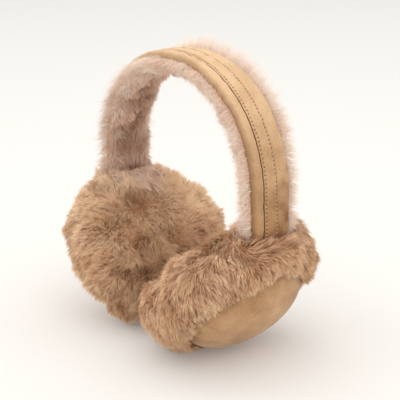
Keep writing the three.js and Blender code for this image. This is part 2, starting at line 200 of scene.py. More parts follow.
class Nodes:
    """The nodes of one material, which starts as a Principled shader with the given constant values."""

    def __init__(self, name, **constants):
        self.material = bpy.data.materials.new(name)
        self.material.use_nodes = True
        self.tree = self.material.node_tree
        self.shader = self.tree.nodes["Principled BSDF"]
        for socket_name, value in constants.items():
            self.shader.inputs[socket_name.replace("_", " ")].default_value = value

    def add(self, kind, settings=None, values=None, output=0):
        """One node with its settings and the values or links of its sockets, as the link of an output."""
        node = self.tree.nodes.new(kind)
        for setting, value in (settings or {}).items():
            if setting == "stops":
                self.set_stops(node.color_ramp, value)
            else:
                setattr(node, setting, value)
        for socket, value in (values or {}).items():
            self.join(node.inputs[socket], value)
        return Link(self, node.outputs[output])

    def set_stops(self, ramp, stops):
        """Gives a colour ramp its stops, each a place and a colour."""
        for _ in range(len(stops) - len(ramp.elements)):
            ramp.elements.new(1.0)
        for element, (place, colour) in zip(ramp.elements, stops):
            element.position = place
            element.color = (*colour, 1.0)

    def join(self, socket, value):
        """Puts a link or a constant on a socket."""
        if isinstance(value, Link):
            self.tree.links.new(value.socket, socket)
        elif isinstance(value, tuple) and len(value) == 3 and socket.type == "RGBA":
            socket.default_value = (*value, 1.0)
        else:
            socket.default_value = value

    def place(self):
        """Object coordinates."""
        return self.add("ShaderNodeTexCoord", output="Object")

    def attribute(self, name):
        """A number stored on the mesh's points."""
        return self.add("ShaderNodeAttribute", {"attribute_name": name}, output="Fac")

    def noise(self, size, detail=2.0, roughness=0.5):
        """Noise from 0 to 1 with lumps of a size in metres."""
        values = {"Vector": self.place(), "Scale": 1 / size, "Detail": detail, "Roughness": roughness}
        return self.add("ShaderNodeTexNoise", values=values)

    def ramp(self, factor, stops):
        """The colour at a factor between stops, each a place from 0 to 1 and a colour."""
        return self.add("ShaderNodeValToRGB", {"stops": stops}, {"Fac": factor})

    def mix(self, factor, first, second, blend_type="MIX"):
        """A mix of two colours."""
        settings = {"data_type": "RGBA", "blend_type": blend_type}
        return self.add("ShaderNodeMix", settings, {0: factor, 6: first, 7: second}, output=2)

    def finish(self, **links):
        """Joins links to the shader's sockets and gives back the material."""
        for socket_name, value in links.items():
            self.join(self.shader.inputs[socket_name.replace("_", " ")], value)
        return self.material


def in_scene(name, data):
    """An object with this data, in the scene."""
    made = bpy.data.objects.new(name, data)
    bpy.context.scene.collection.objects.link(made)
    return made


def mesh_piece(name, points, faces, material, numbers=None, smooth=True):
    """A piece from arrays: points [n, 3], faces as one array or a list of arrays with the same number of
    corners in each, and numbers by point that the material reads. It rides on the one body."""
    faces = faces if isinstance(faces, list) else [faces]
    sizes = np.concatenate([np.full(len(group), group.shape[1]) for group in faces])
    corners = np.concatenate([group.ravel() for group in faces]).astype(np.int32)
    mesh = bpy.data.meshes.new(name)
    mesh.vertices.add(len(points))
    mesh.vertices.foreach_set("co", np.asarray(points, np.float32).ravel())
    mesh.loops.add(len(corners))
    mesh.loops.foreach_set("vertex_index", corners)
    mesh.polygons.add(len(sizes))
    mesh.polygons.foreach_set("loop_start", np.concatenate(([0], np.cumsum(sizes)[:-1])).astype(np.int32))
    mesh.polygons.foreach_set("use_smooth", np.full(len(sizes), smooth))
    mesh.update(calc_edges=True)
    for number_name, values in (numbers or {}).items():
        attribute = mesh.attributes.new(number_name, "FLOAT", "POINT")
        attribute.data.foreach_set("value", values.astype(np.float32))
    mesh.materials.append(material)
    piece = in_scene(name, mesh)
    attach(piece, "root")
    return piece


def tube_faces(rings, count):
    """Quads between rings of count points each, closed round each ring, with the two ends capped. Across to
    the right and depth up, a ring's points run anticlockwise."""
    ring = np.arange(rings - 1)[:, None] * count
    here = np.arange(count)[None, :]
    after = (here + 1) % count
    sides = np.stack((ring + here, ring + count + here, ring + count + after, ring + after), -1)
    caps = np.stack((np.arange(count), (rings - 1) * count + np.arange(count)[::-1]))
    return [sides.reshape(-1, 4), caps]


def seam_turn(seam, towards, radius):
    """The quarter round by which a strip's face turns down into a seam: from below the face up to it."""
    angle = np.linspace(0.0, np.pi / 2, 5)[:, None]
    across = seam + towards * radius * (1 - np.cos(angle))
    depth = face_depth(seam) + radius * (1 - np.sin(angle))
    return np.hstack((across, depth))


def face_depth(across):
    """Depth of the suede's face below the middle of the band: a parabola up to the folds."""
    return SUEDE_CROWN * (across / FOLD_ACROSS) ** 2


def centre_outline():
    """Outline [across, depth] of the centre strip, turned down into both seams and flat inside."""
    across = np.linspace(CENTRE_FRONT + SEAM_ROUND, CENTRE_BACK - BACK_SEAM_ROUND, 20)[1:-1, None]
    face = np.hstack((across, face_depth(across)))
    front = seam_turn(CENTRE_FRONT, 1, SEAM_ROUND)
    back = seam_turn(CENTRE_BACK, -1, BACK_SEAM_ROUND)[::-1]
    inside = np.array([(across_at, SUEDE_THICKNESS) for across_at in (CENTRE_BACK, 0.0, CENTRE_FRONT)])
    inside[:, 1] += face_depth(inside[:, 0])
    return np.vstack((front, face, back, inside))


def edge_outline(seam, radius, roll):
    """Outline of a strip at the back: down from its seam, over the face, round the fold, and back inside. The
    face swells over the padding by a roll times the sine of the way across it."""
    across = np.linspace(seam + radius, FOLD_ACROSS, 12)[1:, None]
    swell = roll * np.sin(np.pi * (across - seam - radius) / (SUEDE_HALF - seam - radius))
    face = np.hstack((across, face_depth(across) - swell))
    angle = np.linspace(0.0, np.pi / 2, 11)[1:, None]
    middle = np.array((FOLD_ACROSS, SUEDE_CROWN + FOLD_RADIUS))
    fold = middle + FOLD_RADIUS * np.hstack((np.sin(angle), -np.cos(angle)))
    fold[:, 1] -= swell[-1] * np.cos(angle[:, 0])
    tuck = np.array(((SUEDE_HALF, SUEDE_EDGE_DEPTH), (SUEDE_HALF - SUEDE_THICKNESS, SUEDE_EDGE_DEPTH)))
    inner = middle + (FOLD_RADIUS - SUEDE_THICKNESS) * np.hstack((np.sin(angle), -np.cos(angle)))
    back_to_seam = np.array(((seam, face_depth(seam) + SUEDE_THICKNESS),))
    return np.vstack((seam_turn(seam, 1, radius), face, fold, tuck, inner[::-1], back_to_seam))


def waves(points, size, seed, count=10):
    """Smooth noise of about -1 to 1 at points: a sum of sine waves of one length in random directions."""
    random = np.random.default_rng(seed)
    directions = unit(random.normal(size=(count, points.shape[-1])))
    lengths = size * random.uniform(0.7, 1.5, count)
    phases = random.uniform(0.0, 2 * np.pi, count)
    turns = 2 * np.pi * directions / lengths[:, None]
    return np.sin(points @ turns.T + phases).sum(-1) / math.sqrt(count / 2)


# Painted light and shade: the suede's colours low down are painted shaded and those high up painted lit, as
# by a light from above.
SUEDE_SHADED = ((0.26, 0.125, 0.05), (0.40, 0.215, 0.096), (0.52, 0.31, 0.15))
SUEDE_LIT = ((0.60, 0.375, 0.20), (0.76, 0.505, 0.29), (0.87, 0.63, 0.40))
# The colour of painted shade in the suede's seam, needle holes, edges and folds, of painted shadow under the
# pads' fur, and of real smudges near the headband's feet.
SUEDE_SHADE_AND_DIRT = (0.12, 0.045, 0.016)
BAND_SHADE_TO_LIGHT = (0.085, 0.165)  # heights of the strongest painted shade low down and painted light at the crown
DISC_SHADE_TO_LIGHT = (-0.03, 0.27)  # the same painted shade and light for the discs, which lie within a small part of that run


def suede_material(name, heights):
    """Brushed suede: a nap of lighter and darker flecks, soft cloudy patches, painted light that makes it
    paler towards the crown and painted shade that makes it darker low down, and darker where a number on the
    mesh says so: painted shade in the seam, along the edges and between the discs' folds, painted shadow at
    the discs' edges, and real smudges near the headband's feet."""
    nodes = Nodes(name, Roughness=0.85, Sheen_Weight=0.2, Sheen_Roughness=0.5, Specular_IOR_Level=0.15)
    cloud = nodes.noise(0.016, 3.0)
    nap = nodes.noise(0.0009, 3.0, 0.7)
    tone = 0.5 * cloud + 0.5 * nap
    high = nodes.add("ShaderNodeSeparateXYZ", values={0: nodes.place()}, output=2)
    darkest, palest = heights
    # painted light: the share of the lit colours grows with height
    rise = (high - darkest) * (1 / (palest - darkest)) + 0.25 * (cloud - 0.5)
    low = nodes.ramp(tone, list(zip((0.3, 0.5, 0.7), SUEDE_SHADED)))
    top = nodes.ramp(tone, list(zip((0.3, 0.5, 0.7), SUEDE_LIT)))
    colour = nodes.mix(rise.held(), low, top)
    # darker where the number says so: painted shade and shadow, and on the headband also real smudges
    with_shade_and_dirt = nodes.mix(nodes.attribute("mark"), colour, SUEDE_SHADE_AND_DIRT)
    height = nodes.add("ShaderNodeBump", values={"Height": nap, "Strength": 0.4, "Distance": 0.0003})
    return nodes, with_shade_and_dirt, height


def banded_suede():
    """The headband's suede, with needle holes painted dark as painted shade where (along - half a pitch)^2 +
    (across - row)^2 is under the square of a hole's radius."""
    nodes, with_shade_and_dirt, height = suede_material("tan suede", BAND_SHADE_TO_LIGHT)
    pitches = nodes.attribute("along") * (1 / STITCH_PITCH)
    in_stitch = nodes.add("ShaderNodeMath", {"operation": "FRACT"}, {0: pitches})
    from_hole = (in_stitch - 0.5) * (STITCH_PITCH / HOLE_RADIUS)
    colour = with_shade_and_dirt
    for row in STITCH_ROWS:
        from_row = (nodes.attribute("across") - row) * (1 / HOLE_RADIUS)
        near = 1.7 - (from_hole * from_hole + from_row * from_row)
        # painted shade in the needle holes
        colour = nodes.mix(0.85 * near.held(), colour, SUEDE_SHADE_AND_DIRT)
    return nodes.finish(Base_Color=colour, Normal=height)


suede = banded_suede()


def strip(name, node, outline, stations):
    """A strip of suede: its outline carried along the band, pulled down along each row of stitches, with
    edges that wander a little. It is painted dark as painted shade down in the seam and along its rolled
    edges, and darkened by real smudges near the band's ends."""
    share = np.linspace(0.0, 1.0, stations)[:, None]
    along, across, depth = np.broadcast_arrays(share * BAND_LENGTH, *outline.T[:, None, :])
    places = np.stack((along, across), -1)
    outside = bell((depth - face_depth(across)) / (0.5 * SUEDE_THICKNESS))
    pulled = sum(PUCKER_DEPTH * bell((across - row) / PUCKER_WIDTH) for row in STITCH_ROWS)
    rough = SUEDE_UNEVEN * waves(places, 0.006, 5)
    side = np.sign(across)
    on_edge = np.stack((along, 0.01 * side), -1)
    drift = waves(on_edge, 0.022, 6) + 0.5 * waves(on_edge, 0.006, 7)
    sway = EDGE_SWAY * drift * side * (across / SUEDE_HALF) ** 4
    # Painted shade: the suede is painted darker the deeper it runs down into the front seam.
    in_seam = np.abs(across - CENTRE_FRONT + SEAM_GAP / 2) < SEAM_ROUND
    mark = np.clip((depth - face_depth(across) - SEAM_DARK_FROM) / SEAM_DARK_OVER, 0.0, SEAM_SHADE) * in_seam
    # painted shade along both rolled edges, where they turn away from the light
    mark = mark + EDGE_PAINTED_SHADE * held((np.abs(across) - SUEDE_HALF) / EDGE_PAINTED_SHADE_WIDTH + 1)
    from_end = np.minimum(along, BAND_LENGTH - along)
    patches = np.clip(0.5 + waves(places, 0.011, 8), 0.0, 1.5)
    handled = held(0.35 + across / SUEDE_HALF) * held(1.6 - from_end / SMUDGE_REACH)
    mark = held(mark + SMUDGE * patches * handled)
    points = on_band(share, across + sway, depth + outside * (pulled + rough))
    numbers = {"mark": mark.ravel(), "along": along.ravel(), "across": across.ravel()}
    faces = tube_faces(stations, len(outline))
    piece = mesh_piece(name, points.reshape(-1, 3), faces, suede, numbers)
    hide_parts(node)


strip("suede_centre", "headband_centre_strip", centre_outline(), 400)
back_outline = edge_outline(CENTRE_BACK + 0.00005, BACK_SEAM_ROUND, BACK_ROLL)
strip("suede_back", "headband_back_strip", back_outline, 280)
front_outline = edge_outline(SUEDE_HALF - FRONT_STRIP_WIDTH, SEAM_ROUND, FRONT_ROLL)[::-1] * (-1.0, 1.0)
strip("suede_front", "headband_front_strip", front_outline, 280)


# Topstitching

# Waxed linen thread, a shade lighter than the suede. Each stitch is a short bar that lies on the suede
# between two needle holes and dives into them at its ends.

THREAD_RADIUS = 0.00022
STITCH_REACH = 0.0017  # from hole to hole, over the suede
STITCH_POINTS = 5
STITCH_SIDES = 5

thread_nodes = Nodes("linen thread", Roughness=0.7, Specular_IOR_Level=0.3)
THREAD_TONES = [(0.35, (0.52, 0.34, 0.18)), (0.65, (0.70, 0.52, 0.32))]
thread = thread_nodes.finish(Base_Color=thread_nodes.ramp(thread_nodes.noise(0.004), THREAD_TONES))


def stitches():
    """Every stitch as a tube along an arch, whose height is r cos of the way from its middle to its ends."""
    way = np.linspace(-1.0, 1.0, STITCH_POINTS)
    row, number, way = np.meshgrid(STITCH_ROWS, np.arange(2, STITCH_COUNT - 2), way, indexing="ij")
    share = (number * STITCH_PITCH + way * STITCH_REACH / 2) / BAND_LENGTH
    lift = THREAD_RADIUS * (1.6 * np.cos(way * np.pi / 2) ** 0.7 - 1.2)
    turn = np.linspace(0.0, 2 * np.pi, STITCH_SIDES, endpoint=False)
    across = row[..., None] + THREAD_RADIUS * np.sin(turn)
    depth = face_depth(row)[..., None] + PUCKER_DEPTH - lift[..., None] - THREAD_RADIUS * np.cos(turn)
    points = on_band(np.broadcast_to(share[..., None], across.shape), across, depth)
    one = tube_faces(STITCH_POINTS, STITCH_SIDES)
    starts = np.arange(row.shape[0] * row.shape[1])[:, None, None] * STITCH_POINTS * STITCH_SIDES
    faces = [(group[None] + starts).reshape(-1, group.shape[1]) for group in one]
    mesh_piece("topstitching", points.reshape(-1, 3), faces, thread)


stitches()


# Fur lining of the headband

# Dense pinkish fur lines the inside of the band. Its backing is packed into the suede and swells out below
# its folded edges, and the hairs lie along the band, turn to its sides, and stand out past both edges of
# the suede.

LINING_OVERHANG = 0.0027  # how far the backing stands out beyond the suede on each side
LINING_THICKNESS = 0.0065
LINING_TOP = SUEDE_EDGE_DEPTH + 0.0003
LINING_HALF = SUEDE_HALF + LINING_OVERHANG
LINING_SINK = 0.001  # the backing's surface lies this far below the hair's thick undercoat
LINING_HAIRS = 18000  # in each half of the band
LINING_HAIR_LENGTH = 0.0068
LINING_HAIR_RISE = 0.0048
FRINGE_LENGTH = 0.0078
CROWN_FRINGE = 0.0065  # how much longer the back fringe is at the crown
FAR_FRINGE = 0.0028  # how much longer the front fringe is on the left leg
TONGUE_FROM = 0.025  # from here to the end of the band the lining's hair spills over the pad's rim
TONGUE_BLEND = 0.006  # distance over which the hair turns to that
TONGUE_LENGTH = 0.005  # how much longer the hairs are there
TONGUE_RISE = 0.003  # and how much higher they stand
PRESSED_AND_SHADED = (  # places where the lining is darker, partly pressed fur and partly painted shade in its creases: distance from the band's end, side, reach of each, strength
    (0.044, -0.05, 0.012, 0.40, 0.25),
    (0.0225, 0.1, 0.0016, 0.35, 1.0),
    (0.088, 0.1, 0.017, 0.40, 0.85),
)
RIDGE_AT = 0.063  # distance from the band's end to a ridge across the lining, darker below it as pressed fur and painted shade
RIDGE_SLANT = 0.0207  # how much further from the end the ridge lies at the back edge than in the middle
RIDGE_REACH = 0.021  # how far below the ridge the lining is darkened, as pressed fur and painted shade
RIDGE_SHADE = 1.0  # how dark the hairs below the ridge are: partly pressed fur, partly painted shade
RIDGE_HALF = 0.55  # how far towards the lining's sides that place reaches, as a share of its half
EDGE_CROWDING = 0.75  # an exponent: below 1 it brings more hairs to the two edges
CROWN_REACH = 0.10  # distance from the crown over which the back fringe shortens
CROWN_SHIFT = 0.014  # the longest fringe lies this far to the left of the crown
PARTING_WIDTH = 0.010  # the hairs this near to the parting at the crown stand up
LINING_SWIRLS = ((0.4, 0.018, 2), (0.35, 0.007, 7))  # how far the hairs turn, size of the swirls, seed
LINING_TUFT = 0.0014  # distance between the middles of neighbouring tufts
HAIR_HALF_WIDTH = 0.00019
HAIR_FLATNESS = 0.6  # a hair's height over its width
THICKEST_AT = 0.45  # share of a hair's way from root to tip
BEND_RISE = 0.65  # a hair bends at this share of its rise over its root
BEND_REACH = 0.30  # and this share of the way to its tip
SOFT_SHADING = 0.4  # the surface's share in the shading of a hair
TUFT_PULL = 0.42  # how far the tips of a tuft's hairs are drawn together
TUFT_TONE = 0.16  # how much the tufts differ in tone
FRINGE_PALE_AND_LIT = 0.8  # how much paler the lining's two edges are: partly their own pale hair, partly painted light shining through the fringe
BACK_THINNING = 0.42  # how much thinner the back fringe's hairs are
FRONT_THINNING = 0.55  # and the front fringe's


def smooth_line(corners, count, closed=False):
    """A smooth line through corners, at even distances: a Catmull-Rom curve, p = the cubic through two
    corners whose slopes there are half the step between their neighbours."""
    if closed:
        corners = np.vstack((corners[-1:], corners, corners[:2]))
    else:
        corners = np.vstack((2 * corners[0] - corners[1], corners, 2 * corners[-1] - corners[-2]))
    before, here, after, beyond = corners[:-3], corners[1:-2], corners[2:-1], corners[3:]
    t = np.linspace(0.0, 1.0, 20, endpoint=False)[:, None, None]
    curve = 0.5 * (
        2 * here
        + (after - before) * t
        + (2 * before - 5 * here + 4 * after - beyond) * t**2
        + (3 * here - before - 3 * after + beyond) * t**3
    )
    points = np.vstack((curve.transpose(1, 0, 2).reshape(-1, corners.shape[1]), corners[-2:-1]))
    return even_line(points, count)[0]


def lining_section():
    """The lining's bulge [across, depth] from under the front edge of the suede round to its back edge."""
    side = np.array(
        (
            (SUEDE_HALF - 0.0012, LINING_TOP - 0.0003),
            (LINING_HALF - LINING_SINK, LINING_TOP + 0.0008),
            (LINING_HALF - LINING_SINK, LINING_TOP + 0.45 * LINING_THICKNESS),
            (0.8 * LINING_HALF, LINING_TOP + 0.85 * LINING_THICKNESS - LINING_SINK),
            (0.35 * LINING_HALF, LINING_TOP + LINING_THICKNESS - LINING_SINK),
        )
    )
    return smooth_line(np.vstack((side * (-1, 1), side[::-1])), 40)


lining_line = lining_section()
LINING_ROUND = np.linalg.norm(np.diff(lining_line, axis=0), axis=1).sum()


def on_lining(along, round_share, height):
    """A point at a distance along the band, a share of the way round the lining, and a height over it."""
    shares = np.linspace(0.0, 1.0, len(lining_line))
    slope = unit(np.gradient(lining_line, axis=0))
    place = np.stack([np.interp(round_share, shares, column) for column in lining_line.T], -1)
    turned = np.stack([np.interp(round_share, shares, column) for column in slope.T], -1)
    across = place[..., 0] - height * turned[..., 1]
    depth = place[..., 1] + height * turned[..., 0]
    return on_band(along / BAND_LENGTH, across, depth)


def fur_material(name, root, middle, tip, pale, shade):
    """Fur: each hair runs from a dark root to a paler tip, the dark root partly the fur's own colour and
    partly painted shade deep in the pile, and the number named shade darkens it further, mostly as painted
    shade.
    """
    nodes = Nodes(name, Roughness=0.9, Specular_IOR_Level=0.05)
    along = nodes.attribute("along")
    cloud = nodes.noise(0.012, 2.0)
    colour = nodes.ramp(along + 0.35 * (cloud - 0.5), [(0.0, root), (0.5, middle), (1.0, tip)])
    toned = nodes.mix(nodes.attribute("tone"), colour, pale)
    pressed_and_shaded = nodes.mix(nodes.attribute("shade"), toned, shade)
    return nodes.finish(Base_Color=pressed_and_shaded)


def hair_mesh(name, path, facing, softness, tones, shades, half_width, material, slot):
    """A joined mesh of hairs. Each is a three-sided spindle along the curve (1-t)^2 root + 2t(1-t) bend +
    t^2 tip, with a point at both ends, thickest on the way. Each face's normal is a mix of its own and of
    the surface's that the hair grows on, as dense fur shades like a surface."""
    roots, bends, tips = path
    count = len(roots)
    t = THICKEST_AT
    thickest = (1 - t) ** 2 * roots + 2 * t * (1 - t) * bends + t**2 * tips
    direction = unit(tips - roots)
    sideways = unit(np.cross(direction, facing) + 1e-7)
    upwards = np.cross(sideways, direction)
    turn = np.array((90.0, 210.0, 330.0)) * np.pi / 180
    cosine, sine = np.cos(turn)[None, :, None], np.sin(turn)[None, :, None]
    ring = cosine * sideways[:, None] + HAIR_FLATNESS * sine * upwards[:, None]
    ring_points = thickest[:, None] + half_width[:, None, None] * ring
    points = np.concatenate((roots[:, None], ring_points, tips[:, None]), axis=1)
    starts = np.arange(count)[:, None, None] * 5
    sides = np.array(((0, 1, 2), (0, 2, 3), (0, 3, 1), (2, 1, 4), (3, 2, 4), (1, 3, 4)))
    faces = (sides[None] + starts).reshape(-1, 3)
    numbers = {
        "along": np.tile((0.0, t, t, t, 1.0), count),
        "tone": np.repeat(tones, 5),
        "shade": np.repeat(shades, 5),
    }
    piece = mesh_piece(name, points.reshape(-1, 3), faces, material, numbers)
    first, second, third = points.reshape(-1, 3)[faces].transpose(1, 0, 2)
    own = unit(np.cross(second - first, third - first))
    soft = np.repeat(softness, len(sides))[:, None]
    normals = unit(soft * np.repeat(facing, len(sides), axis=0) + (1 - soft) * own)
    piece.data.normals_split_custom_set(np.repeat(normals, 3, axis=0).tolist())
    return piece


def bent(roots, tips, rise, out):
    """Where hairs bend: over the root by a share of the rise, and on by a share of the way to the tip."""
    return roots + BEND_RISE * rise[:, None] * out + BEND_REACH * (tips - roots)


def nearest_tuft(places, middles):
    """For each place the number of the nearest middle, worked out in blocks as |p|^2 - 2 p.m + |m|^2."""
    size = (middles**2).sum(1)
    blocks = np.array_split(places, max(1, len(places) // 2000))
    return np.concatenate([np.argmin(size - 2 * block @ middles.T, axis=1) for block in blocks])


def draw_together(roots, tips, spacing, area, pull, random):
    """Draws the tips of each tuft's hairs a share of the way to the tip of its middle hair, and gives each
    tuft a random number for its tone."""
    every = max(1, int(len(roots) * spacing**2 / area))
    tuft = nearest_tuft(roots, roots[::every])
    tone = random.normal(size=len(roots[::every]))[tuft]
    return tips + pull[:, None] * (tips[::every][tuft] - tips), tone


# The root colour is partly the lining's own and partly painted shade deep in the pile; the shade colour is
# painted shade, and partly pressed fur.
lining_fur = fur_material(
    "pink lining fur",
    root=(0.46, 0.215, 0.12),
    middle=(0.83, 0.54, 0.385),
    tip=(0.93, 0.73, 0.59),
    pale=(0.93, 0.80, 0.69),
    shade=(0.26, 0.09, 0.042),
)
UNDERCOAT_SHARE = 0.33  # the undercoat's colour, as a share of a hair's way from root to tip
LINING_ENDS = 0.004  # bare length at each end, deep inside the pads


def undercoat(count):
    """The numbers of a backing's points, of the undercoat's colour, neither pale nor darkened by painted
    shade or pressing.
    """
    return {"along": np.full(count, UNDERCOAT_SHARE), "tone": np.zeros(count), "shade": np.zeros(count)}


def lining_backing():
    """The undercoat: the lining's section, closed inside the suede, carried along the band with small
    lumps."""
    fill = np.array(((0.0095, 0.0036), (0.004, 0.0026), (-0.004, 0.0026), (-0.0095, 0.0036)))
    outline = np.vstack((lining_line, fill))[::-1]
    stations = 160
    share = np.linspace(0.0, 1.0, stations)[:, None]
    across, depth = outline.T[:, None, :]
    points = on_band(share, across, depth)
    uneven = 0.0005 * waves(points, 0.009, 11) * (depth > SUEDE_EDGE_DEPTH + 0.001)
    points = on_band(share, across, depth + uneven)
    numbers = undercoat(points.shape[0] * points.shape[1])
    faces = tube_faces(stations, len(outline))
    piece = mesh_piece("lining_backing", points.reshape(-1, 3), faces, lining_fur, numbers)
    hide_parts("headband_fur_lining")


lining_backing()


def lining_hairs(name, low, high, seed):
    """The hairs between two shares of the band's length. On the inner face they lie along the band, away
    from a parting at the crown, and turn to its sides. Near the band's ends they lie straight on over the
    pads' rims. At the sides they stand out past the suede as a fringe: the back one also rises outwards."""
    random = np.random.default_rng(seed)
    along = random.uniform(low, high, LINING_HAIRS) * (BAND_LENGTH - 2 * LINING_ENDS) + LINING_ENDS
    side = random.uniform(-1.0, 1.0, LINING_HAIRS)
    side = np.sign(side) * np.abs(side) ** EDGE_CROWDING
    share = 0.5 + 0.5 * side
    roots = on_lining(along, share, -0.0006)
    step = 0.0005
    out = unit(on_lining(along, share, step) - on_lining(along, share, 0.0))
    forward = unit(on_lining(along + step, share, 0.0) - on_lining(along - step, share, 0.0))
    to_back = np.cross(out, forward)
    from_crown = along - BAND_LENGTH / 2 + 0.012 * waves(roots, 0.03, seed + 1)
    downward = np.tanh(from_crown / PARTING_WIDTH)
    swirl = sum(most * waves(roots, size, seed + order) for most, size, order in LINING_SWIRLS)
    swirl += 0.2 * random.normal(size=LINING_HAIRS)
    angle = 0.9 * side + swirl
    comb = (np.cos(angle) * downward)[:, None] * forward + np.sin(angle)[:, None] * to_back
    from_end = np.minimum(along, BAND_LENGTH - along)
    tongue = held((TONGUE_FROM - from_end) / TONGUE_BLEND)
    comb += tongue[:, None] * (np.sign(downward)[:, None] * forward - comb)
    length = (LINING_HAIR_LENGTH + TONGUE_LENGTH * tongue) * random.uniform(0.75, 1.2, LINING_HAIRS)
    rise = (LINING_HAIR_RISE + TONGUE_RISE * tongue) * random.uniform(0.7, 1.15, LINING_HAIRS)
    rise *= 1 + 0.18 * waves(roots, 0.012, seed + 3)
    below_ridge = RIDGE_AT + RIDGE_SLANT * side + 0.0012 * waves(roots, 0.008, seed + 8) - from_end
    rise *= 1 + 0.45 * bell((below_ridge + 0.002) / 0.003)
    reach = np.sqrt(np.maximum(length**2 - rise**2, 1e-6))
    lying = rise[:, None] * out + reach[:, None] * comb
    outwards = -read_line(band_inward, along / BAND_LENGTH)
    crown = bell((along - BAND_LENGTH / 2 + CROWN_SHIFT) / CROWN_REACH)
    across = np.sign(side)[:, None] * np.array((0.0, 1.0, 0.0))
    lift = np.where(side > 0, 0.25 + 1.3 * crown, -0.15) + 0.33 * random.normal(size=LINING_HAIRS)
    trail = 0.3 * downward + 0.12 * waves(roots, 0.009, seed + 6) + 0.3 * random.normal(size=LINING_HAIRS)
    fringe = unit(across + lift[:, None] * outwards + trail[:, None] * forward)
    longest = FRINGE_LENGTH + CROWN_FRINGE * crown * (side > 0)
    longest = longest + FAR_FRINGE * (side < 0) * held((BAND_LENGTH / 2 - along) / 0.04)
    fringe *= (longest * random.uniform(0.3, 1.15, LINING_HAIRS))[:, None]
    edge = held((np.abs(side) - 0.5) / 0.3)
    tips = roots + lying + edge[:, None] * (fringe - lying)
    pull = 1.25 * TUFT_PULL * (1 - 0.7 * edge) * random.uniform(0.5, 1.2, LINING_HAIRS)
    tips, own_tone = draw_together(roots, tips, LINING_TUFT, 0.5 * BAND_LENGTH * LINING_ROUND, pull, random)
    bends = bent(roots, tips, rise, out)
    tones = 0.2 + 0.15 * waves(roots, 0.02, seed + 4) + 0.2 * random.normal(size=LINING_HAIRS)
    tones += 1.6 * TUFT_TONE * (1 - edge) * own_tone + 0.25 * tongue
    # Partly the fringe's own pale hair and partly painted light, for light shining through it.
    fringe_pale_and_lit = FRINGE_PALE_AND_LIT * (1 - 0.2 * crown * (side > 0))
    tones = held(tones + fringe_pale_and_lit * held((np.abs(side) - 0.3) / 0.4))
    # Darker places of the lining and the hairs below the ridge: partly pressed fur, partly painted shade.
    pressed_and_shaded = sum(
        strength * np.exp(-(((from_end - place) / reach) ** 2) - ((side - across_at) / across_reach) ** 2)
        for place, across_at, reach, across_reach, strength in PRESSED_AND_SHADED
    )
    under = held(below_ridge / 0.002) * bell(np.maximum(below_ridge, 0.0) / RIDGE_REACH)
    pressed_and_shaded = pressed_and_shaded + RIDGE_SHADE * under * bell(side / RIDGE_HALF)
    # Painted shade: the lining's inner face is painted darker down the legs than at the crown, where the
    # light falls, and not at the fringes; the darker pressed-and-shaded places add to it.
    shades = 0.19 + 0.12 * waves(roots, 0.022, seed + 5) + pressed_and_shaded * random.uniform(0.25, 1.1, LINING_HAIRS)
    shades = held(shades * (1 - edge) * (1 - 0.75 * crown**2))
    thinner = 1 - edge * np.where(side > 0, BACK_THINNING, FRONT_THINNING)
    widths = HAIR_HALF_WIDTH * thinner * random.uniform(0.7, 1.3, LINING_HAIRS)
    facing = unit(out + edge[:, None] * (outwards - out))
    softness = SOFT_SHADING * (1 - 0.85 * edge * (1 - crown * (side > 0)))
    hair_mesh(name, (roots, bends, tips), facing, softness, tones, shades, widths, lining_fur, "lining_fur")


lining_hairs("lining_fur_left", 0.0, 0.5, 21)
lining_hairs("lining_fur_right", 0.5, 1.0, 31)


# Ear pads

# Each pad is a thick round cushion of brown fur over foam and stuffing, sewn shut round its suede disc. Its
# inner face is a shallow hollow between full rims, and the lip of fur beside the disc stands over the
# disc's edge.

DISC_RADIUS = 0.0368
DISC_DOME = 0.0194  # height of the dome over the disc's edge
DISC_EDGE_HEIGHT = 0.0123
LIP_RADIUS = 0.0371
FUR_RING_WIDTH = 0.016
PAD_OUTER_DEPTH = 0.0158  # pad's middle plane to the lip
PAD_INNER_DEPTH = 0.0207  # pad's middle plane to the inner face, over the fur
FUR_RISE = 0.003
PAD_CENTRE = np.array((0.0423, 0.0, 0.04111))
RIGHT_PAD_TURN = math.radians(6.5)
GROUND_GAP = 0.0002
PAD_SINK = 0.0008
PAD_HAIRS = 25500  # in each of a pad's two pieces
PAD_HAIR_LENGTH = 0.0078
PAD_HAIR_RISE = 0.0050
PAD_SWIRLS = ((0.45, 0.019, 1), (0.35, 0.006, 5))  # as the lining's
PAD_FAN = 1.15  # how strongly the hairs fan out, beside how they hang
WEAK_FLOW = 0.35  # where neither turns them this much they stand
PAD_TUFT = 0.0013  # distance between the middles of neighbouring tufts
AREA_OF_HALF_PAD = 0.0085  # of the surface that one of a pad's two pieces of fur grows on, in square metres
RIM_SHARE = 0.6  # share of the section where the inner face's hairs end and the rim's begin
COLLAR_WIDTH = 0.010  # the hairs this near to the foot of the headband stand up against it
COLLAR_HALF = 0.021  # and they do so up to this distance from its middle at the front
COLLAR_HALF_BACK = 0.015  # and up to this one at the back
COLLAR_STAND = 1.5  # how high they stand, in lengths of their neighbours
COLLAR_FRONT = 0.4  # what is added to that at the front of the band
PAD_TONGUE = 0.0345  # above this place on a pad's inner face its hair is the lining's, spilled over the rim
PAD_TONGUE_SLANT = 0.3  # how much higher the tongue begins towards the front
PAD_TONGUE_LENGTH = 0.0095
TONGUE_LOOKS = (0.2, 0.55, 1.3)  # the shade, tone and width of its hairs, over those of the pad's
CREST_AT = 0.48  # share of the section where the inner face turns over into the rim
CREST_REACH = 0.15
CREST_HARDNESS = 0.75  # how much less the surface softens the shading there
PARTING_SHADE_FROM = 0.52  # share of the section beyond which painted shade is laid in patches, as the shade between tufts
PARTING_PAINTED_SHADE = 0.38  # how dark that painted shade between the tufts is
